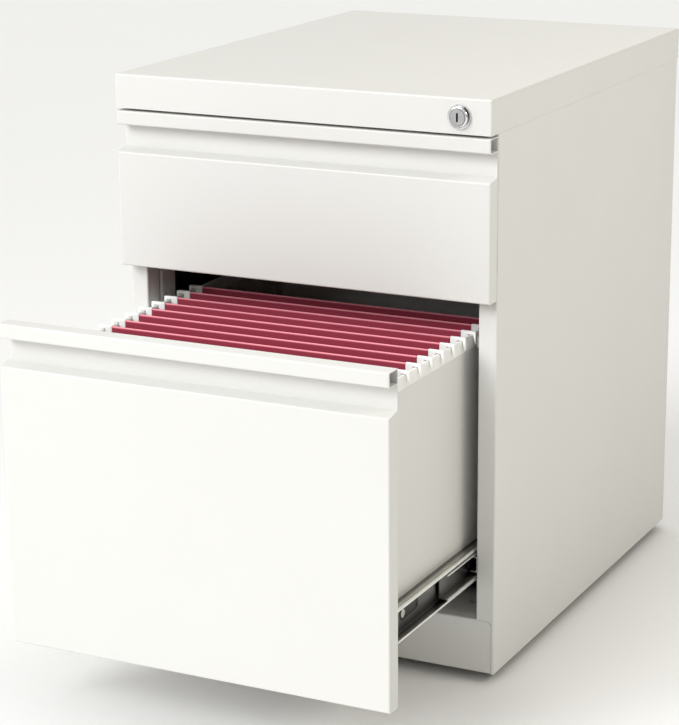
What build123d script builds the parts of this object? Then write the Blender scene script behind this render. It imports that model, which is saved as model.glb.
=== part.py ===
from build123d import *
import math
import os

# A two-drawer steel pedestal cabinet: a box drawer over a file drawer, on four casters hidden by
# its skirt. It rests with the box drawer shut and the file drawer pulled part way out.
# Working frame: x to the right, y to the back from the front plane of the case, z up from the
# floor, both drawers shut. Each node is moved as it is written, so that the origin is on the floor
# in the middle of the whole footprint.

# Driving dimensions, in millimetres.

# case
case_width = 380.0
case_depth = 485.0
total_height = 552.0
case_sheet = 0.9
bend = 0.8  # inside radius of every fold
fold_round = 1.6  # outside radius on the visible corners of the pressed pans
skirt_height = 32.0
skirt_lap = 0.5  # how far the top stands past each side
rear_lap = 2.0  # how far the top stands past the back
seam = 0.3
floor_gap = 10.0
kick_height = 52.0
stile_width = 18.0
stile_depth = 21.0
corner_strip = 2.6  # what is left of the stile beside the kick panel
kick_corner = 4.5
flange = 14.0
upright_sheet = 1.2
upright_width = 27.0
upright_setback = 25.0
upright_slot_pitch = 25.0
upright_slot = (2.5, 12.0)
rail_height = 13.0

# drawer fronts
front_depth = 16.0
liner_sheet = 0.8
liner_play = 1.2  # from the liner of a shut drawer to the case
top_gap = 2.5
drawer_gap = 8.5
kick_overlap = 1.0
bumper_radius = 4.0
bumper_inset = 14.0  # from the top and the bottom of the box drawer's front
box_front_height = 148.5
pull_lip = 13.5
pull_opening = 25.5
pull_slope = 3.0

# drawer bodies
tray_sheet = 0.8
tray_rear_gap = 6.0
box_tray_lift = 12.0  # tray floor above the bottom edge of its front
file_tray_lift = 26.0
box_side_drop = 27.5  # top of the side below the top edge of its front
file_side_drop = 35.0
tray_hem = 6.0
hang_rail_width = 4.2
hang_rail_depth = 11.7
hang_rail_cover = 5.2

# slides
slide_thickness = 13.2
slide_play = 0.5
slide_setback = 4.0
slide_rear_gap = 24.0
travel_loss = 17.0
drawer_member_height = 33.0
drawer_member_flange = 11.5
drawer_member_lip = 2.9
member_sheet = 1.2
middle_sheet = 1.0
middle_setback = 38.0
middle_web_offset = 2.9
middle_reach = 12.5
cabinet_reach = 8.0
race_gap = 3.3
ball_play = 0.15
cage_sheet = 0.7
cage_play = 2.0
ball_pitch = 30.0
slide_height_in_tray = 27.6
member_slot = (40.0, 12.0)
member_slot_start = 66.0
rivet_radius = 3.6
stud_radius = 4.0
file_drawer_open = 208.0

# hanging folders
folder_count = 6
rod_pitch = 24.0
first_rod = 8.0
card_sheet = 0.8
card_inset = 9.9  # end of the card inside the middle of the rail
card_rise = 2.8
card_floor_gap = 9.0
card_fold = 12.0
rod_sheet = 1.2
rod_drop = 6.5  # of the rod below the top of the rail
rod_rise = 2.0
hook_width = 2.8
hook_rise = 3.4
hook_leg = 4.5  # of the hook inside the rail, below its top
hook_shoulder = (2.6, 5.3)  # outwards from the middle of the rail
hook_tip = (3.3, 4.9)
hook_tip_drop = 8.5
hook_play = 0.5

# lock
lock_inset = 30.0  # from the side of the case
lock_drop = 16.5  # below the top
lock_face_radius = 9.6
lock_flange_radius = 11.2
lock_proud = 5.0
lock_body_radius = 8.8
lock_body_length = 26.0
plug_radius = 7.6
plug_shaft_radius = 6.0
plug_proud = 0.5
plug_seat = 2.8  # depth of the wide part of the plug in the housing
keyway = (1.8, 7.8, 14.0)  # width, height and depth
nut_radius = 13.0
nut_thickness = 4.0
running_play = 0.05
cam_gap = 2.0
cam_sheet = 2.0
cam_throw = 8.0
cam_pin_radius = 2.0
cam_arm_margin = 1.5
fork_play = 0.6
fork_prong = 2.6
lock_bar_sheet = 2.0
lock_bar_width = 10.0
lock_bar_setback = 14.0
lock_bar_inset = 3.0  # from the inner fold of the stile
finger_height = 10.0
guide_half = 6.0
guide_ahead = 4.0
guide_play = 0.3
lug_play = 0.5
lug_nose = 1.5
lug_sheet = 2.0
lug_tray_gap = 6.2
lug_stile_gap = 2.0
lug_bar_gap = 1.0
box_lug_drop = 20.5  # below the top edge of the front
file_lug_drop = 17.0

# casters and base
base_sheet = 1.2
wheel_radius = 19.0
wheel_width = 12.0
wheel_spacing = 5.0  # from the middle plane to each wheel
caster_trail = 16.0
swing_clearance = 2.0  # from a wheel turned forwards to the folds of the kick panel and sides
axle_radius = 2.5
fork_width = 8.0
hood_sheet = 2.0
hood_play = 1.5
stem_radius = 4.0
socket_radius = 13.0
plate_size = 42.0
plate_sheet = 2.0
plate_hole_spacing = 31.0
screw_radius = 2.0
screw_head_radius = 4.0
screw_head_height = 1.8
hole_play = 0.1
ballast_width = 190.0
ballast_length = 100.0
ballast_height = 37.0
ballast_rear_gap = 8.0
ballast_bolt_radius = 4.0
ballast_bolt_depth = 18.0

# Places that follow from them.
half_case = case_width / 2
half_opening = half_case - stile_width
half_inside = half_case - case_sheet
half_front = half_case
skirt_bottom = total_height - skirt_height
side_top = skirt_bottom - seam
kick_top = floor_gap + kick_height
base_top = kick_top - case_sheet
front_back = -liner_play - liner_sheet
front_face = front_back - front_depth
box_top = skirt_bottom - top_gap
box_bottom = box_top - box_front_height
file_top = box_bottom - drawer_gap
file_bottom = kick_top - kick_overlap
back_inner = case_depth - case_sheet
upright_face = half_opening - slide_play
half_tray = upright_face - slide_thickness
slide_rear = case_depth - slide_rear_gap
tray_rear = slide_rear - tray_rear_gap
tray_front = -liner_play
travel = slide_rear - slide_setback - travel_loss
middle_front = slide_setback + middle_setback
middle_rear = slide_rear - slide_setback
box_floor = box_bottom + box_tray_lift
file_floor = file_bottom + file_tray_lift
box_side_top = box_top - box_side_drop
file_side_top = file_top - file_side_drop
hang_rail_x = half_tray - tray_sheet / 2
hang_rail_top = file_side_top + hang_rail_cover
lock_x = half_case - lock_inset
lock_z = total_height - lock_drop
caster_sweep = math.hypot(caster_trail + wheel_radius, wheel_spacing + wheel_width)
caster_inset = flange + caster_sweep + swing_clearance
caster_x = half_case - caster_inset
caster_front = caster_inset
caster_rear = case_depth - caster_inset
plate_top = base_top - base_sheet
origin_y = (case_depth + rear_lap + front_face - file_drawer_open) / 2


def block(x, y, z):
    """Box between the pairs of limits x, y and z."""
    limits = (x, y, z)
    centre = [(low + high) / 2 for low, high in limits]
    size = [high - low for low, high in limits]
    return Pos(*centre) * Box(*size)


def rod_along(axis, centre, radius, start, end):
    """Cylinder along x, y or z; centre gives its two other coordinates, in axis order."""
    turn = {"x": Rotation(0, 90, 0), "y": Rotation(90, 0, 0), "z": Rotation(0, 0, 0)}[axis]
    middle = (start + end) / 2
    places = {"x": (middle, *centre), "y": (centre[0], middle, centre[1]), "z": (*centre, middle)}
    return Pos(*places[axis]) * turn * Cylinder(radius, end - start)


def offset_path(path, distance):
    """The path moved to its left, with mitred corners."""
    normals = []
    for (x0, y0), (x1, y1) in zip(path, path[1:]):
        length = math.hypot(x1 - x0, y1 - y0)
        normals.append(((y0 - y1) / length, (x1 - x0) / length))
    moved = []
    for index, (x, y) in enumerate(path):
        before = normals[max(index - 1, 0)]
        after = normals[min(index, len(normals) - 1)]
        share = distance / (1 + before[0] * after[0] + before[1] * after[1])
        moved.append((x + share * (before[0] + after[0]), y + share * (before[1] + after[1])))
    return moved


def bent_strip(path, sheet, inside=bend):
    """Section of a folded sheet whose outer skin is path; the sheet lies to the left of it."""
    inner = offset_path(path, sheet)
    outer_radii = []
    inner_radii = []
    for before, corner, after in zip(path, path[1:], path[2:]):
        cross = (corner[0] - before[0]) * (after[1] - corner[1])
        cross -= (corner[1] - before[1]) * (after[0] - corner[0])
        outer_radii.append(inside + sheet if cross > 0 else inside)
        inner_radii.append(inside if cross > 0 else inside + sheet)
    skin = FilletPolyline(*path, radius=outer_radii)
    lining = FilletPolyline(*inner, radius=inner_radii)
    return make_face([skin, lining, Line(path[0], inner[0]), Line(path[-1], inner[-1])])


def along_x(section, start, end):
    """A section drawn in (y, z), carried from start to end along x."""
    return extrude(Plane.YZ.offset(start) * section, amount=end - start)


def along_y(section, start, end):
    """A section drawn in (x, z), carried from start to end along y."""
    return extrude(Plane.XZ.offset(-end) * section, amount=end - start)


def along_z(section, start, end):
    """A section drawn in (x, y), carried from start to end along z."""
    return extrude(Plane.XY.offset(start) * section, amount=end - start)


def other_side(shape):
    """The left-hand twin of a right-hand piece."""
    return mirror(shape, about=Plane.YZ)


def write(name, shapes, opened=0.0):
    """Write one node, moved to its place at rest; opened is how far it is pulled out."""
    pieces = shapes if isinstance(shapes, list) else [shapes]
    placed = [Pos(0, -opened - origin_y, 0) * piece for piece in pieces]
    whole = placed[0] if len(placed) == 1 else Compound(children=placed)
    export_step(whole, f"parts/{name}.step")


def write_pair(name, shape, opened=0.0):
    write(name + "_right", shape, opened)
    write(name + "_left", other_side(shape), opened)


# Case

back_screw_heights = [floor_gap + 14 + step * (side_top - floor_gap - 28) / 4 for step in range(5)]
back_screw_x = half_case - flange / 2
ballast_rear = back_inner - ballast_rear_gap
ballast_front = ballast_rear - ballast_length
ballast_bolts = [(side * ballast_width / 4, (ballast_front + ballast_rear) / 2) for side in (-1, 1)]
caster_places = {
    "front_left": (-caster_x, caster_front),
    "front_right": (caster_x, caster_front),
    "rear_left": (-caster_x, caster_rear),
    "rear_right": (caster_x, caster_rear),
}
plate_holes = [
    (x + side_x * plate_hole_spacing / 2, y + side_y * plate_hole_spacing / 2)
    for x, y in caster_places.values()
    for side_x in (-1, 1)
    for side_y in (-1, 1)
]

# The bar's fingers pass through the inner fold of the right stile, under each drawer's lug.
cam_rise = cam_throw * math.sqrt(2)
lug_inner = half_tray + lug_tray_gap
lug_outer = half_opening - lug_stile_gap
box_lug_z = box_top - box_lug_drop
file_lug_z = file_top - file_lug_drop


def finger_top(lug_z):
    """Top of a finger when the cabinet is unlocked."""
    return lug_z - lug_nose - lug_play - cam_rise


def side_panel(finger_slots):
    """Right side with its stile, rear flange and top flange."""
    path = [
        (half_opening, stile_depth),
        (half_opening, 0),
        (half_case, 0),
        (half_case, case_depth),
        (half_case - flange, case_depth),
    ]
    panel = along_z(bent_strip(path, case_sheet), floor_gap, side_top)
    lower = block(
        (half_opening - 1, half_case - corner_strip),
        (-1, stile_depth + 1),
        (floor_gap - 1, kick_top),
    )
    corner = lower.edges().filter_by(Axis.Y).group_by(Axis.Z)[-1].sort_by(Axis.X)[-1]
    panel -= fillet(corner, kick_corner)
    top_flange = block(
        (half_inside - flange, half_inside),
        (stile_depth + 1, back_inner),
        (side_top - case_sheet, side_top),
    )
    panel += top_flange
    for z in back_screw_heights:
        panel -= rod_along("y", (back_screw_x, z), screw_radius + hole_play, back_inner - 2, case_depth + 1)
    if finger_slots:
        for lug_z in (box_lug_z, file_lug_z):
            top = finger_top(lug_z)
            panel -= block(
                (half_opening - 1, half_opening + case_sheet + 1),
                (lock_bar_setback - 1.5, lock_bar_setback + lock_bar_sheet + 1.5),
                (top - finger_height - 2, top + cam_rise + 2),
            )
    return panel


def back_panel():
    half = half_inside - bend - seam
    panel = block(
        (-half, half),
        (back_inner - case_sheet, back_inner),
        (floor_gap, side_top - case_sheet - seam),
    )
    for z in back_screw_heights:
        for x in (-back_screw_x, back_screw_x):
            panel -= rod_along("y", (x, z), screw_radius + hole_play, back_inner - 2, back_inner + 1)
    return panel


def top_panel():
    """Pressed pan with a skirt all round and hems folded in under it."""
    half = half_case + skirt_lap
    back = case_depth + rear_lap
    pan = block((-half, half), (front_face, back), (skirt_bottom, total_height))
    pan = fillet(pan.edges().filter_by(Axis.Z) + pan.edges().group_by(Axis.Z)[-1], fold_round)
    pan -= block(
        (case_sheet - half, half - case_sheet),
        (front_face + case_sheet, back - case_sheet),
        (skirt_bottom - 1, total_height - case_sheet),
    )
    pan += block(
        (case_sheet - half, half - case_sheet),
        (front_face + case_sheet, -case_sheet),
        (skirt_bottom, skirt_bottom + case_sheet),
    )
    for side in (-1, 1):
        inner, outer = sorted((side * (half - case_sheet), side * (half - flange)))
        pan += block(
            (inner, outer),
            (stile_depth + 3, back - case_sheet),
            (skirt_bottom, skirt_bottom + case_sheet),
        )
    hole_radius = lock_body_radius + hole_play
    return pan - rod_along("y", (lock_x, lock_z), hole_radius, front_face - 1, front_face + 3)


def top_rail():
    """Channel between the stiles under the fascia."""
    path = [
        (flange, side_top - seam),
        (0, side_top - seam),
        (0, side_top - rail_height),
        (flange, side_top - rail_height),
    ]
    return along_x(bent_strip(path, case_sheet), seam - half_opening, half_opening - seam)


def kick_panel():
    path = [(flange, kick_top), (0, kick_top), (0, floor_gap), (flange, floor_gap)]
    half = half_case - corner_strip - seam
    panel = along_x(bent_strip(path, case_sheet), -half, half)
    corner = block((0, half), (-1, flange + 1), (floor_gap - 1, kick_top))
    edge = corner.edges().filter_by(Axis.Y).group_by(Axis.Z)[-1].sort_by(Axis.X)[-1]
    rounded = fillet(edge, kick_corner + 1)
    keep = rounded + other_side(rounded)
    return panel & keep


def base_pan():
    """Deck that carries the casters, with its sides folded down."""
    half = half_inside - seam
    path = [
        (half, base_top - flange),
        (half, base_top),
        (-half, base_top),
        (-half, base_top - flange),
    ]
    pan = along_y(bent_strip(path, base_sheet), case_sheet + bend + seam, back_inner - case_sheet - seam)
    for x, y in plate_holes:
        pan -= rod_along("z", (x, y), screw_radius + hole_play, plate_top - 1, base_top + 1)
    for x, y in ballast_bolts:
        pan -= rod_along("z", (x, y), ballast_bolt_radius + hole_play, plate_top - 1, base_top + 1)
    return pan


def upright(front):
    """Slotted channel that carries the slides inside the right side."""
    back = front + upright_width
    path = [(half_inside, back), (upright_face, back), (upright_face, front), (half_inside, front)]
    channel = along_z(bent_strip(path, upright_sheet), base_top, side_top - case_sheet - seam)
    slot_y = front + upright_width / 3
    count = int((side_top - base_top) / upright_slot_pitch)
    width, height = upright_slot
    for step in range(1, count):
        z = base_top + step * upright_slot_pitch
        channel -= block(
            (upright_face - 1, upright_face + upright_sheet + 1),
            (slot_y - width / 2, slot_y + width / 2),
            (z - height / 2, z + height / 2),
        )
    return channel


def counterweight():
    weight = block(
        (-ballast_width / 2, ballast_width / 2),
        (ballast_front, ballast_rear),
        (plate_top - ballast_height, plate_top),
    )
    weight = chamfer(weight.edges(), 2)
    for x, y in ballast_bolts:
        hole_bottom = plate_top - ballast_bolt_depth - 1
        weight -= rod_along("z", (x, y), ballast_bolt_radius, hole_bottom, plate_top + 1)
    return weight


def counterweight_bolt(x, y):
    """Hexagon-head bolt down through the deck."""
    head = Pos(x, y, base_top) * extrude(RegularPolygon(ballast_bolt_radius * 1.6, 6), amount=3.5)
    shank_radius = ballast_bolt_radius - running_play
    shank = rod_along("z", (x, y), shank_radius, plate_top - ballast_bolt_depth, base_top)
    return head + shank


def pan_head(radius, height):
    """Domed screw head standing on z = 0."""
    head = Cylinder(radius, height, align=(Align.CENTER, Align.CENTER, Align.MIN))
    head = fillet(head.edges().group_by(Axis.Z)[-1], height * 0.6)
    slot = Box(radius * 1.1, radius * 0.28, height)
    cross = Pos(0, 0, height) * (slot + Rotation(0, 0, 90) * slot)
    return head - cross


def back_screw(x, z):
    shank = Pos(0, 0, -2.5) * Cylinder(screw_radius, 5.0)
    screw = pan_head(screw_head_radius, screw_head_height) + shank
    return Pos(x, case_depth, z) * Rotation(-90, 0, 0) * screw


def caster_screw(x, y):
    shank = Pos(0, 0, -2.5) * Cylinder(screw_radius, 5.0)
    screw = pan_head(screw_head_radius, screw_head_height) + shank
    return Pos(x, y, plate_top - plate_sheet) * Rotation(180, 0, 0) * screw


def bumper(x, z):
    """Rubber button on the face of a stile, which the liner of a shut drawer nearly meets."""
    return rod_along("y", (x, z), bumper_radius, 0.1 - liner_play, 0)


# Slides. The sections are drawn in (x, z) from the side of the tray outwards, for the right side.


def drawer_member(z):
    """Channel on the drawer: it opens outwards and its lips keep the balls in."""
    half = drawer_member_height / 2
    outer = half_tray + drawer_member_flange
    path = [
        (outer, z + half - drawer_member_lip),
        (outer, z + half),
        (half_tray, z + half),
        (half_tray, z - half),
        (outer, z - half),
        (outer, z - half + drawer_member_lip),
    ]
    member = along_y(bent_strip(path, member_sheet), slide_setback / 2, tray_rear)
    length, height = member_slot
    for start in member_slot_starts():
        slot = Pos(start + length / 2, z) * SlotOverall(length, height)
        member -= extrude(Plane.YZ.offset(half_tray - 1) * slot, amount=member_sheet + 2)
    for y in rivet_places():
        member -= rod_along("x", (y, z), rivet_radius * 0.6 + hole_play, half_tray - 1, half_tray + 3)
    return member


def member_slot_starts():
    """Front ends of the two slots in the web of a drawer member."""
    return (member_slot_start, tray_rear - member_slot_start - member_slot[0])


def rivet_places():
    return (member_slot_start / 2, (tray_front + tray_rear) / 2, tray_rear - member_slot_start / 2)


def middle_half_height():
    return drawer_member_height / 2 - member_sheet - race_gap


def cabinet_half_height():
    return middle_half_height() - middle_sheet - race_gap


def middle_member(z):
    half = middle_half_height()
    inner = half_tray + middle_web_offset
    outer = half_tray + middle_reach
    path = [(outer, z + half), (inner, z + half), (inner, z - half), (outer, z - half)]
    member = along_y(bent_strip(path, middle_sheet), middle_front, middle_rear)
    length, height = member_slot
    for share in (0.2, 0.5, 0.8):
        y = middle_front + share * (middle_rear - middle_front)
        slot = Pos(y, z) * SlotOverall(length, height)
        member -= extrude(Plane.YZ.offset(inner - 1) * slot, amount=middle_sheet + 2)
    return member


def cabinet_member(z):
    half = cabinet_half_height()
    inner = upright_face - cabinet_reach
    path = [(inner, z - half), (upright_face, z - half), (upright_face, z + half), (inner, z + half)]
    return along_y(bent_strip(path, member_sheet), slide_setback, slide_rear)


def ball_cage(z, race_z, inner, outer, start, end):
    """One thin U-shaped cage with a row of balls in each leg."""
    ball_radius = race_gap / 2 - ball_play
    leg = cage_sheet / 2
    ball_x = (inner + outer) / 2 + cage_sheet
    cage = block((inner, inner + cage_sheet), (start, end), (z - race_z - leg, z + race_z + leg))
    for side in (-1, 1):
        leg_z = z + side * race_z
        cage += block((inner, outer), (start, end), (leg_z - leg, leg_z + leg))
    count = int((end - start) / ball_pitch)
    margin = ((end - start) - (count - 1) * ball_pitch) / 2
    balls = []
    for step in range(count):
        y = start + margin + step * ball_pitch
        for side in (-1, 1):
            leg_z = z + side * race_z
            hole = (ball_x, y)
            cage -= rod_along("z", hole, ball_radius + hole_play, leg_z - 1, leg_z + 1)
            balls.append(Pos(ball_x, y, leg_z) * Sphere(ball_radius))
    return [cage, *balls]


def cabinet_cage(z):
    """Between the cabinet member and the middle one; it moves a quarter of the drawer's travel."""
    race_z = cabinet_half_height() + race_gap / 2
    inner = (half_tray + middle_web_offset + middle_sheet + upright_face - cabinet_reach - cage_sheet) / 2
    start = slide_setback + travel / 4 + cage_play
    end = middle_rear - travel / 4 - cage_play
    return ball_cage(z, race_z, inner, inner + 6.3, start, end)


def drawer_cage(z):
    """Between the middle member and the drawer's; it moves three quarters of the travel."""
    race_z = middle_half_height() + race_gap / 2
    inner = half_tray + (member_sheet + middle_web_offset - cage_sheet) / 2
    start = middle_front + travel / 4 + cage_play
    end = tray_rear - travel / 4 - cage_play
    return ball_cage(z, race_z, inner, inner + 7.2, start, end)


def rivet(y, z):
    """Rivet that holds the drawer member on the right side of a tray."""
    shank = rod_along("x", (y, z), rivet_radius * 0.6, half_tray, half_tray + member_sheet)
    head = rod_along("x", (y, z), rivet_radius, half_tray + member_sheet, half_tray + member_sheet + 0.35)
    return shank + head


def bayonet_stud(z):
    """Stud on the tray that stands in the front end of the member's first slot."""
    y = member_slot_start + stud_radius + 3.0
    return rod_along("x", (y, z), stud_radius, half_tray, half_tray + member_sheet + 0.3)


def rivets(z):
    one_side = [rivet(y, z) for y in rivet_places()] + [bayonet_stud(z)]
    return one_side + [other_side(piece) for piece in one_side]


# Drawers


def drawer_front(bottom, top):
    """Pressed front with a full-width finger pull under its top lip, which is open at both ends."""
    wall = front_back - case_sheet
    face_top = top - pull_lip - pull_opening
    outline = Polyline(
        (front_back, top),
        (front_face, top),
        (front_face, top - pull_lip),
        (wall, top - pull_lip),
        (wall, face_top + pull_slope),
        (front_face, face_top),
        (front_face, bottom),
        (front_back, bottom),
        close=True,
    )
    pan = along_x(make_face(outline), -half_front, half_front)
    front_edges = pan.edges().filter_by(lambda edge: edge.center().Y < front_face + 0.01)
    pan = fillet(front_edges, fold_round)
    inside = (case_sheet - half_front, half_front - case_sheet)
    through = (-half_front - 1, half_front + 1)
    depth = (front_face + case_sheet, front_back + 1)
    pan -= block(inside, depth, (bottom + case_sheet, face_top - case_sheet))
    pan -= block(through, depth, (top - pull_lip + case_sheet, top - case_sheet))
    return pan


def drawer_liner(bottom, top, lug_z):
    """Flat sheet that closes the back of a front, with the lug that the lock bar holds."""
    half = half_front - seam
    liner = block((-half, half), (front_back, tray_front), (bottom + seam, top - seam))
    nose = lock_bar_setback + lock_bar_sheet + lug_bar_gap
    liner += block((lug_inner, lug_outer), (tray_front, nose + lug_sheet), (lug_z, lug_z + lug_sheet))
    liner += block((lug_inner, lug_outer), (nose, nose + lug_sheet), (lug_z - lug_nose, lug_z + lug_sheet))
    return liner


def box_tray():
    path = [
        (tray_hem - half_tray, box_side_top),
        (-half_tray, box_side_top),
        (-half_tray, box_floor),
        (half_tray, box_floor),
        (half_tray, box_side_top),
        (half_tray - tray_hem, box_side_top),
    ]
    return along_y(bent_strip(path, tray_sheet), tray_front, tray_rear)


def file_tray():
    path = [
        (-half_tray, file_side_top),
        (-half_tray, file_floor),
        (half_tray, file_floor),
        (half_tray, file_side_top),
    ]
    return along_y(bent_strip(path, tray_sheet), tray_front, tray_rear)


def tray_back(floor, top):
    """Back wall of a tray, folded forwards at its two ends."""
    half = half_tray - tray_sheet
    path = [(half, tray_rear - flange), (half, tray_rear), (-half, tray_rear), (-half, tray_rear - flange)]
    return along_z(bent_strip(path, tray_sheet), floor + tray_sheet + bend, top)


def hang_rail():
    """Plastic rail pressed on the top edge of the right side, for the folder hooks."""
    half = hang_rail_width / 2
    bottom = hang_rail_top - hang_rail_depth
    rail = block(
        (hang_rail_x - half, hang_rail_x + half),
        (tray_front + 1, tray_rear - 1),
        (bottom, hang_rail_top),
    )
    top_edges = rail.edges().filter_by(Axis.Y).group_by(Axis.Z)[-1]
    rail = fillet(top_edges, half * 0.95)
    return rail - block(
        (half_tray - tray_sheet, half_tray),
        (tray_front, tray_rear),
        (bottom - 1, file_side_top),
    )


def folder_card(middle):
    """One hanging folder: a sheet folded to a narrow V between its two rods."""
    top = hang_rail_top + card_rise
    bottom = file_floor + card_floor_gap
    reach = rod_pitch / 2 - rod_sheet / 2 - 0.2
    path = [
        (middle - reach, top),
        (middle - reach, top - card_fold),
        (middle - 1.5, bottom),
        (middle + 1.5, bottom),
        (middle + reach, top - card_fold),
        (middle + reach, top),
    ]
    half = hang_rail_x - card_inset
    return along_x(bent_strip(path, card_sheet, 0.2), -half, half)


def folder_rod(y):
    """Flat rod with a plastic hook at each end that rides over the rail."""
    x, z = hang_rail_x, hang_rail_top
    grip = hang_rail_width / 2 + hook_play
    end = x - card_inset + 0.4
    top = z + hook_rise
    tip = z - hook_tip_drop
    outline = Polyline(
        (end, z - hook_leg),
        (end, top),
        (x + hook_shoulder[0], top),
        (x + hook_shoulder[1], top - (hook_shoulder[1] - hook_shoulder[0])),
        (x + hook_tip[1], tip),
        (x + hook_tip[0], tip),
        (x + grip, z + 0.1),
        (x - grip, z + 0.1),
        (x - grip, z - hook_leg),
        close=True,
    )
    hook = along_y(make_face(outline), y - hook_width / 2, y + hook_width / 2)
    rod = block((-end, end), (y - rod_sheet / 2, y + rod_sheet / 2), (z - rod_drop, z + rod_rise))
    return rod + hook + other_side(hook)


# Lock

lock_face = front_face - lock_proud
lock_rear = front_face + lock_body_length
cam_front = lock_rear + cam_gap
pin_start = math.radians(-45)


def lock_housing():
    shell = rod_along("y", (lock_x, lock_z), lock_face_radius, lock_face, front_face)
    rim = shell.edges().group_by(Axis.Y)[0]
    shell = fillet(rim, 1.2)
    shell += rod_along("y", (lock_x, lock_z), lock_flange_radius, front_face - 1.4, front_face)
    shell += rod_along("y", (lock_x, lock_z), lock_body_radius, front_face, lock_rear)
    seat = lock_face + plug_seat + 0.2
    shell -= rod_along("y", (lock_x, lock_z), plug_radius + running_play, lock_face - 1, seat)
    bore = plug_shaft_radius + running_play
    return shell - rod_along("y", (lock_x, lock_z), bore, lock_face, lock_rear + 1)


def lock_nut():
    start = front_face + case_sheet
    hexagon = RegularPolygon(nut_radius, 6) - Circle(lock_body_radius + hole_play)
    return along_y(Pos(lock_x, lock_z) * hexagon, start, start + nut_thickness)


def lock_plug():
    step = lock_face + plug_seat
    plug = rod_along("y", (lock_x, lock_z), plug_radius, lock_face - plug_proud, step)
    plug = fillet(plug.edges().group_by(Axis.Y)[0], plug_proud)
    plug += rod_along("y", (lock_x, lock_z), plug_shaft_radius, step, cam_front)
    width, height, depth = keyway
    return plug - block(
        (lock_x - width / 2, lock_x + width / 2),
        (lock_face - 1, lock_face + depth),
        (lock_z - height / 2, lock_z + height / 2),
    )


def lock_cam():
    """Plate on the end of the plug, with the pin that lifts the lock bar."""
    pin_x = lock_x + cam_throw * math.cos(pin_start)
    pin_z = lock_z + cam_throw * math.sin(pin_start)
    hub = rod_along("y", (lock_x, lock_z), plug_shaft_radius, cam_front, cam_front + cam_sheet)
    cam_back = cam_front + cam_sheet
    arm_end = rod_along("y", (pin_x, pin_z), cam_pin_radius + cam_arm_margin, cam_front, cam_back)
    pin_end = lock_bar_setback + lock_bar_sheet + cam_arm_margin
    return hub + arm_end + rod_along("y", (pin_x, pin_z), cam_pin_radius, cam_back, pin_end)


def lock_bar():
    """Flat bar behind the right stile, with a fork for the cam's pin and a finger for each drawer."""
    inner = half_opening + case_sheet + lock_bar_inset
    outer = inner + lock_bar_width
    depth = (lock_bar_setback, lock_bar_setback + lock_bar_sheet)
    fork_z = lock_z + cam_throw * math.sin(pin_start)
    fork_half = cam_pin_radius + fork_play
    bar_top = fork_z + fork_half + fork_prong
    fork_end = lock_x + cam_throw * math.cos(pin_start) - cam_pin_radius
    bar = block((inner, outer), depth, (finger_top(file_lug_z) - finger_height, bar_top))
    bar += block((fork_end, outer), depth, (fork_z - fork_half - fork_prong, bar_top))
    bar -= block(
        (fork_end - 1, lock_x + cam_throw + fork_half),
        (depth[0] - 1, depth[1] + 1),
        (fork_z - fork_half, fork_z + fork_half),
    )
    for lug_z in (box_lug_z, file_lug_z):
        top = finger_top(lug_z)
        bar += block((lug_inner + 0.5, inner + 1), depth, (top - finger_height, top))
    return bar


def lock_bar_guide(z):
    """Plastic block across the inside of the stile, with a slot that the bar slides in."""
    inner = half_opening + case_sheet
    back = lock_bar_setback + lock_bar_sheet
    guide = block(
        (inner, half_inside),
        (lock_bar_setback - guide_ahead, back + guide_ahead),
        (z - guide_half, z + guide_half),
    )
    start = inner + lock_bar_inset
    return guide - block(
        (start - guide_play, start + lock_bar_width + guide_play),
        (lock_bar_setback - guide_play, back + guide_play),
        (z - guide_half - 1, z + guide_half + 1),
    )


# Casters

axle_z = wheel_radius
crown_bottom = wheel_radius * 2 + hood_play + hood_sheet
stem_top = plate_top - plate_sheet - 2.0


def caster_plate(x, y):
    """Top plate with the socket that the stem turns in."""
    half = plate_size / 2
    plate = block((x - half, x + half), (y - half, y + half), (plate_top - plate_sheet, plate_top))
    plate = fillet(plate.edges().filter_by(Axis.Z), 4)
    plate += rod_along("z", (x, y), socket_radius, crown_bottom + 4.0, plate_top - plate_sheet)
    plate -= rod_along("z", (x, y), stem_radius + running_play, crown_bottom, stem_top + 0.5)
    for side_x in (-1, 1):
        for side_y in (-1, 1):
            hole = (x + side_x * plate_hole_spacing / 2, y + side_y * plate_hole_spacing / 2)
            plate -= rod_along("z", hole, screw_radius + hole_play, plate_top - 3, plate_top + 1)
    return plate


def caster_fork(x, y):
    """Moulded fork between the two wheels: web, hood over the wheels, crown and stem."""
    axle_y = y + caster_trail
    half = fork_width / 2
    outer = wheel_spacing + wheel_width
    web = rod_along("x", (axle_y, axle_z), wheel_radius - 5, x - half, x + half)
    web += block((x - half, x + half), (y - 10, axle_y + 10), (axle_z, crown_bottom + 1))
    hood_radius = wheel_radius + hood_play + hood_sheet
    hood = rod_along("x", (axle_y, axle_z), hood_radius, x - outer, x + outer)
    hood -= rod_along("x", (axle_y, axle_z), wheel_radius + hood_play, x - outer - 1, x + outer + 1)
    hood &= block((x - outer, x + outer), (y - 40, axle_y + 12), (axle_z + 2, crown_bottom + 4))
    crown = rod_along("z", (x, y), socket_radius, crown_bottom - 2, crown_bottom + 3.5)
    stem = rod_along("z", (x, y), stem_radius, crown_bottom, stem_top)
    hollow = rod_along("x", (axle_y, axle_z), wheel_radius + hood_play, x + half, x + outer + 1)
    fork = web + hood + (crown - hollow - Pos(-outer - half - 1, 0, 0) * hollow) + stem
    return fork - rod_along("x", (axle_y, axle_z), axle_radius + running_play, x - half - 1, x + half + 1)


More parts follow.
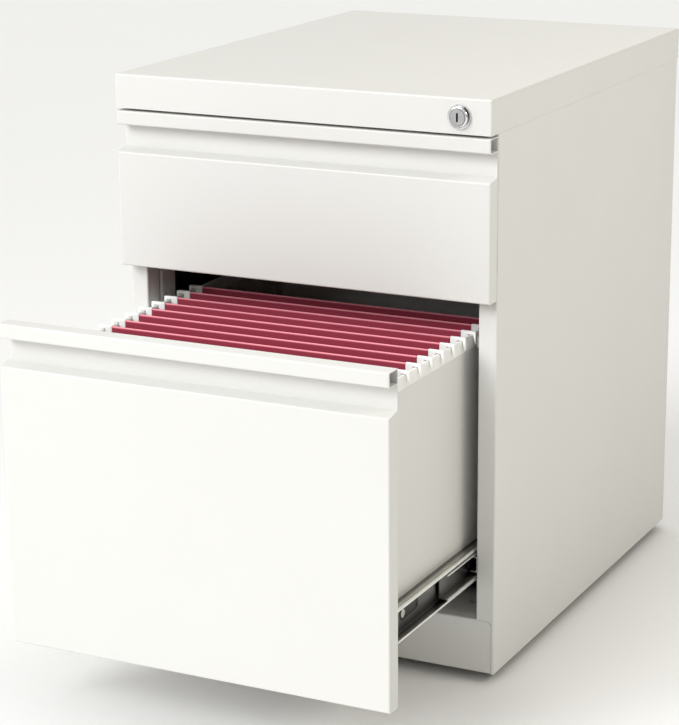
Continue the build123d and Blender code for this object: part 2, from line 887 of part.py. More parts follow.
def caster_wheels(x, y):
    """Two wheels on their axle, which turn together."""
    axle_y = y + caster_trail
    inner_face = x + wheel_spacing
    outer_face = inner_face + wheel_width
    wheel = rod_along("x", (axle_y, axle_z), wheel_radius, inner_face, outer_face)
    wheel = fillet(wheel.edges(), 2)
    dish_start = outer_face - 2.5
    wheel -= rod_along("x", (axle_y, axle_z), wheel_radius * 0.68, dish_start, dish_start + 5)
    wheel += rod_along("x", (axle_y, axle_z), axle_radius * 2.2, dish_start - 1, dish_start + 1.5)
    wheel -= rod_along("x", (axle_y, axle_z), axle_radius, x, dish_start - 1)
    twin = mirror(wheel, about=Plane.YZ.offset(x))
    end = wheel_spacing + wheel_width - 3.5
    axle = rod_along("x", (axle_y, axle_z), axle_radius, x - end, x + end)
    return [wheel, twin, axle]


os.makedirs("parts", exist_ok=True)

write("side_panel_right", side_panel(finger_slots=True))
write("side_panel_left", other_side(side_panel(finger_slots=False)))
write("back_panel", back_panel())
write("top_panel", top_panel())
write("top_rail", top_rail())
write("kick_panel", kick_panel())
write("base_pan", base_pan())
write_pair("upright_front", upright(upright_setback))
write_pair("upright_rear", upright(slide_rear - upright_setback - upright_width))
write("counterweight", counterweight())
write("counterweight_bolts", [counterweight_bolt(x, y) for x, y in ballast_bolts])
screw_places = [(x, z) for x in (-back_screw_x, back_screw_x) for z in back_screw_heights]
write("back_panel_screws", [back_screw(x, z) for x, z in screw_places])
write("caster_screws", [caster_screw(x, y) for x, y in plate_holes])
bumper_x = half_case - stile_width / 2
bumper_heights = (box_bottom + bumper_inset, box_top - bumper_inset)
write("drawer_bumpers", [bumper(side * bumper_x, z) for side in (-1, 1) for z in bumper_heights])

slide_heights = {"box": box_floor + slide_height_in_tray, "file": file_floor + slide_height_in_tray}
openings = {"box": 0.0, "file": file_drawer_open}
for drawer, slide_z in slide_heights.items():
    opened = openings[drawer]
    write_pair(f"{drawer}_slide_cabinet_member", cabinet_member(slide_z))
    write_pair(f"{drawer}_slide_middle_member", middle_member(slide_z), opened / 2)
    write_pair(f"{drawer}_slide_drawer_member", drawer_member(slide_z), opened)
    for cage_name, cage, share in (("cabinet", cabinet_cage, 1 / 4), ("drawer", drawer_cage, 3 / 4)):
        right = cage(slide_z)
        left = [other_side(piece) for piece in right]
        write(f"{drawer}_{cage_name}_ball_cages", right + left, opened * share)
    write(f"{drawer}_drawer_rivets", rivets(slide_z), opened)

write("box_drawer_front", drawer_front(box_bottom, box_top))
write("box_drawer_liner", drawer_liner(box_bottom, box_top, box_lug_z))
write("box_drawer_tray", box_tray())
write("box_drawer_back", tray_back(box_floor, box_side_top - tray_sheet - bend))
write("file_drawer_front", drawer_front(file_bottom, file_top), file_drawer_open)
write("file_drawer_liner", drawer_liner(file_bottom, file_top, file_lug_z), file_drawer_open)
write("file_drawer_tray", file_tray(), file_drawer_open)
file_back_top = hang_rail_top - hang_rail_depth - seam
write("file_drawer_back", tray_back(file_floor, file_back_top), file_drawer_open)
write("hanging_rails", [hang_rail(), other_side(hang_rail())], file_drawer_open)
rod_places = [first_rod + step * rod_pitch for step in range(2 * folder_count)]
folder_middles = [(front + back) / 2 for front, back in zip(rod_places[::2], rod_places[1::2])]
write("hanging_folders", [folder_card(middle) for middle in folder_middles], file_drawer_open)
write("folder_rods", [folder_rod(y) for y in rod_places], file_drawer_open)

write("lock_housing", lock_housing())
write("lock_nut", lock_nut())
write("lock_plug", lock_plug())
write("lock_cam", lock_cam())
write("lock_bar", lock_bar())
guide_heights = (box_bottom - 10, box_lug_z - 45)
write("lock_bar_guides", [lock_bar_guide(z) for z in guide_heights])

write("caster_plates", [caster_plate(x, y) for x, y in caster_places.values()])
for place, (x, y) in caster_places.items():
    write(f"caster_fork_{place}", caster_fork(x, y))
    write(f"caster_wheels_{place}", caster_wheels(x, y))
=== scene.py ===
import math

import bmesh
import bpy
from mathutils import Matrix, Vector


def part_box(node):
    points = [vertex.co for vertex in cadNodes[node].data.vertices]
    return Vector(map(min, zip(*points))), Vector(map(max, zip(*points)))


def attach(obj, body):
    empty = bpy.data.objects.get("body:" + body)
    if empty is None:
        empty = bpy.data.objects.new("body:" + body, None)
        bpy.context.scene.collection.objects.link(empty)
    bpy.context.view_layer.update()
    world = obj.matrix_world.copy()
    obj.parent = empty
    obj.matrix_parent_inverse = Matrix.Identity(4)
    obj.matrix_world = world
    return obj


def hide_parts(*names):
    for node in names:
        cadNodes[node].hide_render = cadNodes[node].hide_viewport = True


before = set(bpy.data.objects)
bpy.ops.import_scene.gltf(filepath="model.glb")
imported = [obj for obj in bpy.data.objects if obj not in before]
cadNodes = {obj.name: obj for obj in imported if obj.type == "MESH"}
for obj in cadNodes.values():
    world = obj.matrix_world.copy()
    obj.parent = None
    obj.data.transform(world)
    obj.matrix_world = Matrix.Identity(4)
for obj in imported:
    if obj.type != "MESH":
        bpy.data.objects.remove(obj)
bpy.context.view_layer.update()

print("frame loaded:", len(cadNodes), "nodes")


# Small tools for working on one piece at a time

def deselectAll():
    bpy.ops.object.select_all(action="DESELECT")


def makeActive(piece):
    deselectAll()
    piece.select_set(True)
    bpy.context.view_layer.objects.active = piece


def startEdit(piece, kind="FACE"):
    makeActive(piece)
    bpy.ops.object.mode_set(mode="EDIT")
    bpy.ops.mesh.select_mode(type=kind)
    bpy.ops.mesh.select_all(action="DESELECT")


def endEdit():
    bpy.ops.object.mode_set(mode="OBJECT")


def pickFaces(piece, wanted):
    # wanted takes a face's middle and its normal
    bpy.ops.mesh.select_all(action="DESELECT")
    shape = bmesh.from_edit_mesh(piece.data)
    for face in shape.faces:
        if wanted(face.calc_center_median(), face.normal):
            face.select_set(True)
    bmesh.update_edit_mesh(piece.data)


def pickEdges(piece, wanted):
    # wanted takes the two ends of an edge
    bpy.ops.mesh.select_all(action="DESELECT")
    shape = bmesh.from_edit_mesh(piece.data)
    for edge in shape.edges:
        if wanted(edge.verts[0].co, edge.verts[1].co):
            edge.select_set(True)
    bmesh.update_edit_mesh(piece.data)


def pushOut(step):
    bpy.ops.mesh.extrude_region_move(TRANSFORM_OT_translate={"value": tuple(step)})


def applyModifier(piece, kind, **settings):
    makeActive(piece)
    modifier = piece.modifiers.new(kind, kind)
    for name, value in settings.items():
        setattr(modifier, name, value)
    bpy.ops.object.modifier_apply(modifier=modifier.name)


def settle(piece):
    # puts the object's place, turn and size into its mesh
    makeActive(piece)
    bpy.ops.object.transform_apply(location=True, rotation=True, scale=True)


def startCube(name, low, high):
    deselectAll()
    low = Vector(low)
    high = Vector(high)
    bpy.ops.mesh.primitive_cube_add(size=1, location=(low + high) / 2)
    piece = bpy.context.object
    piece.name = name
    piece.scale = high - low
    settle(piece)
    return piece


def copyPiece(piece, name, step):
    twin = piece.copy()
    twin.data = piece.data.copy()
    twin.name = name
    bpy.context.scene.collection.objects.link(twin)
    twin.data.transform(Matrix.Translation(step))
    return twin


# Shader maths: an expression on wires adds its Math nodes

class Wire:
    def __init__(self, finish, node, output):
        self.finish = finish
        self.node = node
        self.socket = node.outputs[output]

    def out(self, output):
        # another output of the same node
        return Wire(self.finish, self.node, output)

    def maths(self, operation, first, second):
        settings = {"operation": operation}
        return self.finish.add("ShaderNodeMath", settings, {0: first, 1: second})

    def __add__(self, other):
        return self.maths("ADD", self, other)

    def __radd__(self, other):
        return self.maths("ADD", other, self)

    def __mul__(self, other):
        return self.maths("MULTIPLY", self, other)

    def __rmul__(self, other):
        return self.maths("MULTIPLY", other, self)

    def __gt__(self, other):
        return self.maths("GREATER_THAN", self, other)

    def __lt__(self, other):
        return self.maths("LESS_THAN", self, other)

    def __abs__(self):
        return self.maths("ABSOLUTE", self, 0.0)


class Finish:
    def __init__(self, name, roughness, metallic=0.0):
        self.material = bpy.data.materials.new(name)
        self.material.use_nodes = True
        self.tree = self.material.node_tree
        self.tree.nodes.clear()
        self.shader = self.tree.nodes.new("ShaderNodeBsdfPrincipled")
        self.shader.inputs["Roughness"].default_value = roughness
        self.shader.inputs["Metallic"].default_value = metallic
        output = self.tree.nodes.new("ShaderNodeOutputMaterial")
        self.tree.links.new(self.shader.outputs["BSDF"], output.inputs["Surface"])

    def add(self, kind, settings=None, sockets=None, output=0):
        node = self.tree.nodes.new(kind)
        for name, value in (settings or {}).items():
            setattr(node, name, value)
        for name, value in (sockets or {}).items():
            if isinstance(value, Wire):
                self.tree.links.new(value.socket, node.inputs[name])
            else:
                node.inputs[name].default_value = value
        return Wire(self, node, output)

    def place(self):
        return self.add("ShaderNodeTexCoord", output="Object")

    def axes(self):
        split = self.add("ShaderNodeSeparateXYZ", {}, {0: self.place()})
        return split.out("X"), split.out("Y"), split.out("Z")

    def noise(self, scale, detail=2.0, stretch=None):
        where = self.place()
        if stretch:
            where = self.add("ShaderNodeMapping", {}, {"Vector": where, "Scale": stretch})
        sockets = {"Vector": where, "Scale": scale, "Detail": detail}
        return self.add("ShaderNodeTexNoise", {}, sockets)

    def ramp(self, wire, start, end):
        # 0 below start, 1 above end
        sockets = {"Value": wire, "From Min": start, "From Max": end}
        return self.add("ShaderNodeMapRange", {}, sockets)

    def mix(self, factor, first, second):
        sockets = {0: factor, 6: rgba(first), 7: rgba(second)}
        return self.add("ShaderNodeMix", {"data_type": "RGBA"}, sockets, 2)

    def bump(self, height, distance, strength):
        sockets = {"Strength": strength, "Distance": distance, "Height": height}
        return self.add("ShaderNodeBump", {}, sockets, "Normal")

    def set(self, name, wire):
        self.tree.links.new(wire.socket, self.shader.inputs[name])


def rgba(colour):
    return colour if isinstance(colour, Wire) else (*colour, 1.0)


# Finishes

paintLook = {
    "colour": (0.700, 0.698, 0.682),
    "cloud": (0.682, 0.678, 0.655),
    "cloudScale": 6.0,
    "cloudBand": (0.35, 0.75),
    "cloudShare": 0.6,
    "speckleScale": 1400.0,
    "speckleBand": (0.45, 0.8),
    "speckleShare": 0.4,
    "paintedShade": (0.012, 0.012, 0.012),
    "roughness": 0.40,
    "rubScale": 22.0,
    "peelScale": 850.0,
    "finePeelScale": 2600.0,
    "peelDepth": 0.00006,
    "peelStrength": 0.55,
    "wallThick": 0.0009,
    "insideShadeRamp": (0.060, 0.085),
    "shadeFoot": 0.012,
    "shadeHead": 0.025,
    "slideShadeInset": 0.001,
}


def makePaint(name, look, shadeInside=False, shadeBehindSlides=False):
    finish = Finish(name, look["roughness"])
    cloud = finish.ramp(finish.noise(look["cloudScale"], 3.0), *look["cloudBand"])
    speckle = finish.ramp(finish.noise(look["speckleScale"], 1.0), *look["speckleBand"])
    shade = cloud * look["cloudShare"] + speckle * look["speckleShare"]
    colour = finish.mix(shade, look["colour"], look["cloud"])
    if shadeInside:
        # painted shade: a little way in from the front, the inside walls turn near black as if
        # unlit
        x, y, z = finish.axes()
        low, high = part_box("side_panel_right")
        half = look["wallThick"] / 2
        across = abs(x) < high.x - half
        deep = finish.ramp(y, low.y + look["insideShadeRamp"][0], low.y + look["insideShadeRamp"][1])
        along = deep * (y < high.y - 3 * half)
        upright = (z > low.z + look["shadeFoot"]) * (z < high.z + look["shadeHead"])
        colour = finish.mix(across * along * upright, colour, look["paintedShade"])
    if shadeBehindSlides:
        # painted shade on the walls behind the slides, so the slots in the slides look dark
        x, y, z = finish.axes()
        wall = abs(x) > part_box("file_drawer_tray")[1].x - look["wallThick"] / 2
        inset = look["slideShadeInset"]
        for drawer in ("box", "file"):
            low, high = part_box(f"{drawer}_slide_drawer_member_right")
            slideShade = wall * (z > low.z + inset) * (z < high.z - inset)
            colour = finish.mix(slideShade, colour, look["paintedShade"])
    finish.set("Base Color", colour)
    rubAndHighlight = finish.noise(look["rubScale"], 4.0)
    finish.set("Roughness", look["roughness"] - 0.05 + 0.12 * rubAndHighlight)
    peel = finish.noise(look["peelScale"], 2.0) + 0.35 * finish.noise(look["finePeelScale"], 1.0)
    finish.set("Normal", finish.bump(peel, look["peelDepth"], look["peelStrength"]))
    return finish.material


zincLook = {
    "bright": (0.66, 0.65, 0.60),
    "dull": (0.43, 0.43, 0.40),
    "paintedChannelShade": (0.085, 0.085, 0.090),
    "roughness": 0.26,
    "streakScale": 4.0,
    "streaks": (260.0, 5.0, 260.0),
    "streakDepth": 0.00005,
    "bloomScale": 45.0,
    "webSkin": 0.0011,
    "channelShadeReach": 0.004,
    "channelShadeFade": 0.003,
    "lip": (0.93, 0.93, 0.90),
    "lipStart": 0.0102,
}


def makeZinc(name, look, paintedChannelShade=False):
    # bright zinc plate on rolled strip: drawn lines along the slide and a faint cloudy bloom
    finish = Finish(name, look["roughness"], 1.0)
    lines = finish.noise(look["streakScale"], 3.0, look["streaks"])
    bloom = finish.noise(look["bloomScale"], 4.0)
    shade = 0.55 * finish.ramp(lines, 0.3, 0.7) + 0.45 * finish.ramp(bloom, 0.35, 0.7)
    colour = finish.mix(shade, look["dull"], look["bright"])
    roughness = look["roughness"] - 0.06 + 0.16 * bloom + 0.08 * lines
    if paintedChannelShade:
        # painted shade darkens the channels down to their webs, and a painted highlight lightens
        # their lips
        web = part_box("file_slide_drawer_member_right")[0].x
        x = abs(finish.axes()[0])
        reach = web + look["channelShadeReach"]
        channelShadeMask = finish.ramp(x, reach + look["channelShadeFade"], reach) * (x > web + look["webSkin"])
        colour = finish.mix(channelShadeMask * (0.75 + 0.25 * bloom), colour, look["paintedChannelShade"])
        lip = x > web + look["lipStart"]
        colour = finish.mix(lip, colour, look["lip"])
        roughness = roughness + 0.16 * lip
    finish.set("Base Color", colour)
    finish.set("Roughness", roughness)
    finish.set("Normal", finish.bump(lines, look["streakDepth"], 0.5))
    return finish.material


chromeLook = {
    "colour": (0.80, 0.80, 0.81),
    "dark": (0.045, 0.045, 0.05),
    "roughness": 0.09,
    "rings": 4000.0,
    "ringDepth": 0.000012,
}
plugLook = {
    "colour": (0.47, 0.47, 0.48),
    "dark": (0.10, 0.10, 0.11),
    "roughness": 0.34,
    "rings": 5000.0,
    "ringDepth": 0.000012,
}
turnedMarks = {
    "rimDepth": 0.0010,  # behind the lock's face
    "flangeDepth": 0.0036,
    "barrelReflection": (0.0090, 0.0100),  # radii between which the painted dark reflection lies
    "seam": (0.00728, 0.00775),
    "smearScale": 160.0,
    "smearShade": 0.86,
}


def makeTurned(name, look, marks):
    # metal turned on a lathe: fine rings about the lock's axis, a painted dark reflection along the
    # barrel, and a dark ring at the plug's rim
    finish = Finish(name, look["roughness"], 1.0)
    low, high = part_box("lock_plug")
    middle = (low + high) / 2
    sockets = {"Vector": finish.place(), "Location": (-middle.x, 0.0, -middle.z)}
    moved = finish.add("ShaderNodeMapping", {}, sockets)
    sockets = {0: moved, 1: (1.0, 0.0, 1.0)}
    flat = finish.add("ShaderNodeVectorMath", {"operation": "MULTIPLY"}, sockets)
    radius = finish.add("ShaderNodeVectorMath", {"operation": "LENGTH"}, {0: flat}, "Value")
    turns = radius * (look["rings"] * math.tau)
    wave = finish.add("ShaderNodeMath", {"operation": "SINE"}, {0: turns})
    smear = finish.noise(marks["smearScale"], 3.0)
    darker = [marks["smearShade"] * part for part in look["colour"]]
    metal = finish.mix(smear, look["colour"], darker)
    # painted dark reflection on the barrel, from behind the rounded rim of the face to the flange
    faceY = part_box("lock_housing")[0].y
    rim = faceY + marks["rimDepth"]
    y = finish.axes()[1]
    wall = (radius > marks["barrelReflection"][0]) * (radius < marks["barrelReflection"][1])
    barrelReflection = (y > rim) * (y < faceY + marks["flangeDepth"]) * wall
    seam = (radius > marks["seam"][0]) * (radius < marks["seam"][1]) * (y < rim)
    finish.set("Base Color", finish.mix(barrelReflection + seam, metal, look["dark"]))
    finish.set("Roughness", look["roughness"] - 0.03 + 0.10 * smear)
    finish.set("Normal", finish.bump(wave, look["ringDepth"], 0.5))
    return finish.material


plasticLook = {
    "rail_plastic": {"colour": (0.86, 0.86, 0.84), "roughness": 0.42},
    "hook_plastic": {"colour": (0.94, 0.94, 0.93), "roughness": 0.38},
    "caster_plastic": {"colour": (0.022, 0.022, 0.024), "roughness": 0.48},
    "wheel_plastic": {"colour": (0.045, 0.045, 0.048), "roughness": 0.55},
    "bumper_rubber": {"colour": (0.030, 0.029, 0.028), "roughness": 0.75},
}


plasticGrain = {
    "scale": 1800.0,
    "depth": 0.00005,
    "cloudScale": 60.0,
    "cloudBand": (0.35, 0.8),
    "cloudShade": 0.90,
}


def makePlastic(name, look, grain):
    finish = Finish(name, look["roughness"])
    cloud = finish.noise(grain["cloudScale"], 3.0)
    darker = [grain["cloudShade"] * part for part in look["colour"]]
    shade = finish.ramp(cloud, *grain["cloudBand"])
    finish.set("Base Color", finish.mix(shade, look["colour"], darker))
    finish.set("Roughness", look["roughness"] - 0.06 + 0.14 * cloud)
    pits = finish.noise(grain["scale"], 3.0)
    finish.set("Normal", finish.bump(pits, grain["depth"], 0.4))
    return finish.material


ironLook = {
    "colour": (0.060, 0.062, 0.066),
    "rust": (0.16, 0.085, 0.045),
    "rustScale": 38.0,
    "rustBand": (0.60, 0.72),
    "roughness": 0.62,
    "pitScale": 260.0,
    "pitDepth": 0.0006,
}


def makeIron(name, look):
    # rough cast weight, with a little rust coming through the primer
    finish = Finish(name, look["roughness"], 0.2)
    pits = finish.noise(look["pitScale"], 5.0)
    spots = finish.ramp(finish.noise(look["rustScale"], 5.0), *look["rustBand"])
    finish.set("Base Color", finish.mix(spots, look["colour"], look["rust"]))
    finish.set("Roughness", look["roughness"] + 0.25 * pits)
    finish.set("Normal", finish.bump(pits, look["pitDepth"], 0.6))
    return finish.material


cardLook = {
    "face": (0.225, 0.011, 0.032),
    "fibre": (0.320, 0.026, 0.056),
    "crestHighlight": (0.92, 0.32, 0.39),
    "roughness": 0.82,
    "crestDepth": 0.0016,
    "fibreScale": 700.0,
    "fibreStretch": (1.0, 1.0, 3.5),
    "fibreDepth": 0.00012,
    "mottleScale": 55.0,
}


def makeCard(name, look, top):
    # pressed card: fibres, mottled dye, and a painted highlight along the crest of the fold
    finish = Finish(name, look["roughness"])
    fibres = finish.noise(look["fibreScale"], 4.0, look["fibreStretch"])
    mottle = finish.noise(look["mottleScale"], 4.0)
    body = finish.mix(0.6 * fibres + 0.4 * mottle, look["face"], look["fibre"])
    height = finish.axes()[2]
    rubAndHighlight = finish.ramp(height, top - look["crestDepth"], top - 0.2 * look["crestDepth"])
    finish.set("Base Color", finish.mix(rubAndHighlight, body, look["crestHighlight"]))
    finish.set("Roughness", look["roughness"] - 0.1 + 0.2 * mottle)
    finish.set("Normal", finish.bump(fibres, look["fibreDepth"], 0.6))
    return finish.material


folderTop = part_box("hanging_folders")[1].z
finishes = {
    "case_paint": makePaint("case_paint", paintLook, shadeInside=True),
    "front_paint": makePaint("front_paint", paintLook),
    "tray_paint": makePaint("tray_paint", paintLook, shadeBehindSlides=True),
    "slide_zinc": makeZinc("slide_zinc", zincLook, paintedChannelShade=True),
    "cage_zinc": makeZinc("cage_zinc", zincLook),
    "screw_zinc": makeZinc("screw_zinc", zincLook),
    "lock_chrome": makeTurned("lock_chrome", chromeLook, turnedMarks),
    "lock_steel": makeTurned("lock_steel", plugLook, turnedMarks),
    "ballast_iron": makeIron("ballast_iron", ironLook),
    "folder_card": makeCard("folder_card", cardLook, folderTop),
}
for slotName, look in plasticLook.items():
    finishes[slotName] = makePlastic(slotName, look, plasticGrain)

for node in cadNodes.values():
    slotName = node.data.materials[0].name.split(".")[0]
    node.data.materials[0] = finishes[slotName]
print("finishes made:", len(finishes))


# Hanging folders: card folded over a flat rod on each side, hung in a narrow V

folderShape = {
    "count": 6,
    "rodPitch": 0.024,
    "rodThick": 0.0012,
    "cardThick": 0.0005,
    "hemDepth": 0.009,
    "hemPlay": 0.00005,
    "foldSteps": 5,
    "straight": 0.016,
    "rows": (0.03, 0.06, 0.09, 0.12, 0.16, 0.2),
    "bottomHalf": 0.0022,
    "bottomRise": 0.002,
    "bottomRound": 0.55,
    "slotWidth": 0.009,
    "slotPitch": 0.0185,
    "slotTop": 0.0125,
    "slotHigh": 0.0016,
    "slotMargin": 0.012,
    "slackFrom": 0.02,
    "slackReach": 0.08,
    "waveSize": 0.11,
    "waviness": 0.0035,
    "smoothAngle": 40.0,
}


def folderLine(shape, middle, top, bottom):
    # side view of the card as (y, z), from the inner edge of one hem to the inner edge of the other
    bend = (shape["rodThick"] + shape["cardThick"]) / 2 + shape["hemPlay"]
    foldTop = top - shape["cardThick"] / 2
    centre = foldTop - bend
    rodAt = shape["rodPitch"] / 2
    line = [(-rodAt + bend, top - shape["hemDepth"]), (-rodAt + bend, centre)]
    for step in range(1, shape["foldSteps"] + 1):
        angle = math.pi * step / shape["foldSteps"]
        line.append((-rodAt + bend * math.cos(angle), centre + bend * math.sin(angle)))
    outer = -rodAt - bend
    half = shape["bottomHalf"]
    for drop in (shape["slotTop"], shape["slotTop"] + shape["slotHigh"], *shape["rows"]):
        share = max(0.0, drop - shape["straight"]) / (top - bottom)
        line.append((outer + share * (-half - outer), top - drop))
    line.append((-half, bottom + shape["bottomRise"]))
    line.append((-half * shape["bottomRound"], bottom + shape["cardThick"] / 2))
    back = [(-y, z) for y, z in reversed(line)]
    return [(middle + y, z) for y, z in line + back]


def makeFolder(name, shape, middle, half, top, bottom):
    line = folderLine(shape, middle, top, bottom)
    deselectAll()
    (startY, startZ), (nextY, nextZ) = line[:2]
    hem = (0, startY, (startZ + nextZ) / 2)
    bpy.ops.mesh.primitive_plane_add(size=1, location=hem, rotation=(math.pi / 2, 0, 0))
    folder = bpy.context.object
    folder.name = name
    folder.scale = (2 * half, nextZ - startZ, 1)
    settle(folder)
    startEdit(folder, "EDGE")
    pickEdges(folder, lambda a, b: min(a.z, b.z) > nextZ - 1e-6)
    for here, there in zip(line[1:], line[2:]):
        pushOut((0, there[0] - here[0], there[1] - here[1]))
    # columns for the row of tab slots
    slots = int(2 * (half - shape["slotMargin"]) / shape["slotPitch"])
    middles = [(i - (slots - 1) / 2) * shape["slotPitch"] for i in range(slots)]
    starts = [x - shape["slotWidth"] / 2 for x in middles]
    for start in starts:
        for cut in (start, start + shape["slotWidth"]):
            bpy.ops.mesh.select_all(action="SELECT")
            bpy.ops.mesh.bisect(plane_co=(cut, 0, 0), plane_no=(1, 0, 0))
    bpy.ops.mesh.select_mode(type="FACE")
    slotLow = top - shape["slotTop"] - shape["slotHigh"]

    def inSlot(centre, normal):
        inRow = slotLow < centre.z < top - shape["slotTop"]
        outer = abs(centre.y - middle) > shape["rodPitch"] / 2
        return inRow and outer and any(s < centre.x < s + shape["slotWidth"] for s in starts)

    pickFaces(folder, inSlot)
    bpy.ops.mesh.delete(type="FACE")
    bpy.ops.mesh.select_all(action="SELECT")
    bpy.ops.mesh.normals_make_consistent(inside=False)
    endEdit()
    # the card is slack below the rods
    slack = folder.vertex_groups.new(name="slack")
    for vertex in folder.data.vertices:
        depth = (top - shape["slackFrom"] - vertex.co.z) / shape["slackReach"]
        slack.add([vertex.index], min(max(depth, 0.0), 1.0), "REPLACE")
    waves = bpy.data.textures.new("cardWaves", "CLOUDS")
    waves.noise_scale = shape["waveSize"]
    applyModifier(folder, "DISPLACE", texture=waves, direction="Y",
                  strength=shape["waviness"], vertex_group="slack")
    applyModifier(folder, "SOLIDIFY", thickness=shape["cardThick"], offset=0.0)
    makeActive(folder)
    bpy.ops.object.shade_smooth_by_angle(angle=math.radians(shape["smoothAngle"]))
    return folder


folderLow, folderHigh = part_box("hanging_folders")
rodLow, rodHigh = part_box("folder_rods")
rodCount = 2 * folderShape["count"]
firstRod = (rodLow.y + rodHigh.y) / 2 - (rodCount - 1) / 2 * folderShape["rodPitch"]
for number in range(folderShape["count"]):
    middle = firstRod + (2 * number + 0.5) * folderShape["rodPitch"]
    name = f"hangingFolder{number + 1}"
    folder = makeFolder(name, folderShape, middle, folderHigh.x, folderTop, folderLow.z)
    folder.data.materials.append(finishes["folder_card"])
    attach(folder, "file_drawer")
    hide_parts("hanging_folders")
print("hanging folders made:", folderShape["count"])


# Folder rods: a steel strip inside each hem, with a moulded hook at each end

hookShape = {
    "wide": 0.0028,
    "inset": 0.0095,
    "railHalf": 0.0021,
    "play": 0.0005,
    "armHigh": 0.0034,
    "armLow": 0.0002,
    "armFall": 0.0004,
    "legDrop": 0.0045,
    "outer": 0.0052,
    "tipDrop": 0.0085,
    "tipShares": (0.55, 0.45),  # of the drop, down to the shoulder and below it
    "shoulderTaper": (0.7, 0.9, 1),
    "tipTaper": (0.45, 0.7, 1),
    "round": 0.00065,
    "stripHalf": 0.0006,
    "stripLow": 0.0065,
    "stripHigh": 0.0016,
    "stripRound": 0.00015,
    "swageEdge": (0.0018, 0.0010),
    "swageDepth": 0.0003,
    "smoothAngle": 50.0,
}


def makeHook(shape, railX, railTop, y):
    # inner leg first, then the arm over the rail and the pointed tip outside it
    half = shape["wide"] / 2
    gap = shape["railHalf"] + shape["play"]
    outside = (railX + shape["outer"], y, railTop)
    hook = startCube("hook", (railX - shape["inset"], y - half, railTop - shape["legDrop"]),
                     (railX - gap, y + half, railTop + shape["armLow"]))
    startEdit(hook)
    pickFaces(hook, lambda centre, normal: normal.z > 0.9)
    pushOut((0, 0, shape["armHigh"] - shape["armLow"]))
    armBottom = railTop + shape["armLow"]
    pickFaces(hook, lambda centre, normal: normal.x > 0.9 and centre.z > armBottom)
    pushOut((2 * gap, 0, 0))
    pushOut((shape["outer"] - gap, 0, -shape["armFall"]))
    pickFaces(hook, lambda centre, normal: normal.z < -0.9 and centre.x > railX + gap)
    for share, taper in zip(shape["tipShares"], (shape["shoulderTaper"], shape["tipTaper"])):
        pushOut((0, 0, -share * shape["tipDrop"]))
        bpy.ops.transform.resize(value=taper, center_override=outside)
    endEdit()
    applyModifier(hook, "BEVEL", width=shape["round"], segments=2, limit_method="ANGLE")
    applyModifier(hook, "SUBSURF", levels=1, render_levels=1)
    applyModifier(hook, "MIRROR", use_axis=(True, False, False), use_mirror_merge=False)
    startEdit(hook)
    bpy.ops.mesh.select_all(action="SELECT")
    bpy.ops.mesh.normals_make_consistent(inside=False)
    endEdit()
    return hook


def makeRod(shape, railX, railTop, y):
    half = shape["stripHalf"]
    end = railX - shape["inset"]
    strip = startCube("rodStrip", (-end, y - half, railTop - shape["stripLow"]),
                      (end, y + half, railTop + shape["stripHigh"]))
    # a shallow stiffening swage along the strip
    startEdit(strip)
    pickFaces(strip, lambda centre, normal: abs(normal.y) > 0.9)
    bpy.ops.mesh.inset(thickness=shape["swageEdge"][0], depth=0.0)
    bpy.ops.mesh.inset(thickness=shape["swageEdge"][1], depth=-shape["swageDepth"])
    endEdit()
    applyModifier(strip, "BEVEL", width=shape["stripRound"], segments=2, limit_method="ANGLE")
    return strip


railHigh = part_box("hanging_rails")[1]
railX = railHigh.x - hookShape["railHalf"]
hook = makeHook(hookShape, railX, railHigh.z, firstRod)
strip = makeRod(hookShape, railX, railHigh.z, firstRod)
hook.data.materials.append(finishes["hook_plastic"])
strip.data.materials.append(finishes["screw_zinc"])
deselectAll()
strip.select_set(True)
hook.select_set(True)
bpy.context.view_layer.objects.active = hook
bpy.ops.object.join()
makeActive(hook)
bpy.ops.object.shade_smooth_by_angle(angle=math.radians(hookShape["smoothAngle"]))
hook.name = "folderRod1"
rods = [hook]
for number in range(1, rodCount):
    step = (0, number * folderShape["rodPitch"], 0)
    rods.append(copyPiece(hook, f"folderRod{number + 1}", step))
for rod in rods:
    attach(rod, "file_drawer")
    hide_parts("folder_rods")
print("folder rods made:", len(rods))


# Studio: floor, lights and camera

studio = {
    "floorColour": (0.86, 0.86, 0.86),
    "floorHalf": 20.0,
    "floorFade": 0.985,
    "zenith": (1.0, 1.0, 0.98),
    "horizon": (0.36, 0.32, 0.245),
    "horizonReach": 0.8,
    "rightDim": 0.3,
    "skyStrength": 1.06,
    "keyColour": (0.97, 0.985, 1.0),
    "keyStrength": 1.7,
    "keyAngle": 34.0,
    "keyFrom": (-0.36, -0.80, 0.48),
    "frontPower": 7.0,
    "frontSize": 0.7,
    "frontPlace": (-0.80, -1.50, 1.35),
    "frontAim": (0.0, 0.0, 0.40),
    "sideColour": (1.0, 0.93, 0.79),
    "sidePower": 6.5,
    "sideSize": 0.5,
    "sidePlace": (1.35, 0.02, 1.20),
    "sideAim": (0.19, 0.0, 0.35),
}


def makeFloor(look):
    deselectAll()
    bpy.ops.mesh.primitive_plane_add(size=2 * look["floorHalf"], location=(0, 0, 0))
    floor = bpy.context.object
    floor.name = "studioFloor"
    finish = Finish("studioFloor", 0.7)
    cloud = finish.noise(3.0, 2.0)
    darker = [look["floorFade"] * part for part in look["floorColour"]]
    finish.set("Base Color", finish.mix(cloud, look["floorColour"], darker))
    floor.data.materials.append(finish.material)


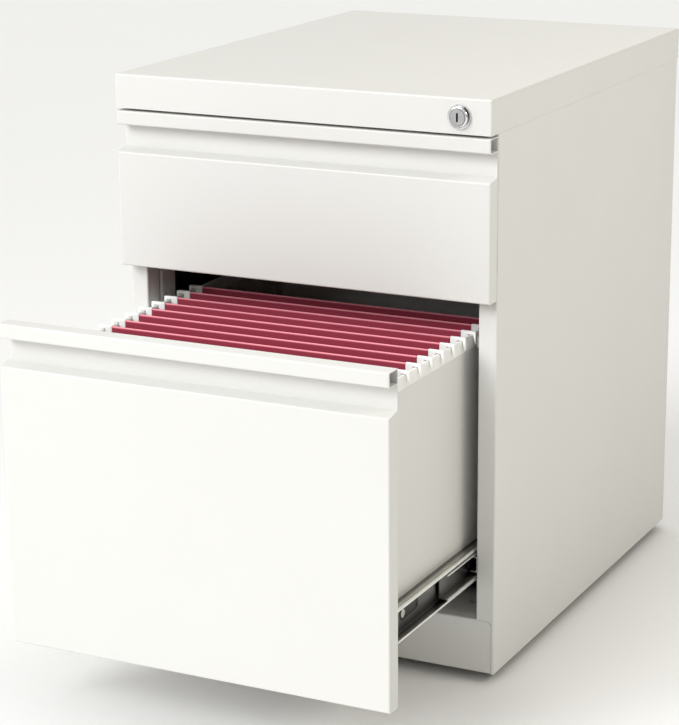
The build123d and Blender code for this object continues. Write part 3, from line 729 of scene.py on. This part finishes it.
def makeSky(look):
    # brighter overhead than at the horizon, and darker towards the right
    world = bpy.data.worlds.new("studioSky")
    bpy.context.scene.world = world
    world.use_nodes = True
    nodes = world.node_tree.nodes
    links = world.node_tree.links
    where = nodes.new("ShaderNodeTexCoord")
    split = nodes.new("ShaderNodeSeparateXYZ")
    rise = nodes.new("ShaderNodeMapRange")
    rise.inputs["From Max"].default_value = look["horizonReach"]
    blend = nodes.new("ShaderNodeMix")
    blend.data_type = "RGBA"
    blend.inputs[6].default_value = rgba(look["horizon"])
    blend.inputs[7].default_value = rgba(look["zenith"])
    links.new(where.outputs["Generated"], split.inputs[0])
    links.new(split.outputs["Z"], rise.inputs["Value"])
    links.new(rise.outputs[0], blend.inputs[0])
    links.new(blend.outputs[2], nodes["Background"].inputs["Color"])
    fade = nodes.new("ShaderNodeMapRange")
    fade.inputs["To Min"].default_value = look["skyStrength"]
    fade.inputs["To Max"].default_value = look["skyStrength"] * look["rightDim"]
    links.new(split.outputs["X"], fade.inputs["Value"])
    links.new(fade.outputs[0], nodes["Background"].inputs["Strength"])


def aimed(away):
    # the turn that points a lamp against the direction away
    return Vector(away).to_track_quat("Z", "Y").to_euler()


def makeSoftbox(name, colour, power, size, place, aim):
    deselectAll()
    bpy.ops.object.light_add(type="AREA", location=place)
    lamp = bpy.context.object
    lamp.name = name
    lamp.data.color = colour
    lamp.data.energy = power
    lamp.data.size = size
    lamp.visible_camera = False
    lamp.rotation_euler = aimed(Vector(place) - Vector(aim))


def makeLights(look):
    deselectAll()
    bpy.ops.object.light_add(type="SUN", location=(-1, -3, 2))
    key = bpy.context.object
    key.name = "keyLight"
    key.data.color = look["keyColour"]
    key.data.energy = look["keyStrength"]
    key.data.angle = math.radians(look["keyAngle"])
    key.rotation_euler = aimed(look["keyFrom"])
    for name, colour in (("front", look["keyColour"]), ("side", look["sideColour"])):
        size, place, aim = (look[name + part] for part in ("Size", "Place", "Aim"))
        makeSoftbox(name + "Light", colour, look[name + "Power"], size, place, aim)


view = {
    "place": (0.980, -2.035, 0.888),
    "turn": 26.45,
    "down": 15.61,
    "roll": -0.44,
    "lens": 118.2,
    "sensor": 36.0,
    "reach": 100.0,
}


def makeCamera(look):
    camera = bpy.data.objects.new("camera", bpy.data.cameras.new("camera"))
    bpy.context.scene.collection.objects.link(camera)
    turn = Matrix.Rotation(math.radians(look["turn"]), 4, "Z")
    tilt = Matrix.Rotation(math.radians(90 - look["down"]), 4, "X")
    roll = Matrix.Rotation(math.radians(look["roll"]), 4, "Z")
    camera.matrix_world = Matrix.Translation(look["place"]) @ turn @ tilt @ roll
    camera.data.lens = look["lens"]
    camera.data.sensor_width = look["sensor"]
    camera.data.clip_end = look["reach"]
    bpy.context.scene.camera = camera


makeFloor(studio)
makeSky(studio)
makeLights(studio)
makeCamera(view)
bpy.context.scene.view_settings.view_transform = "Standard"
print("studio set")
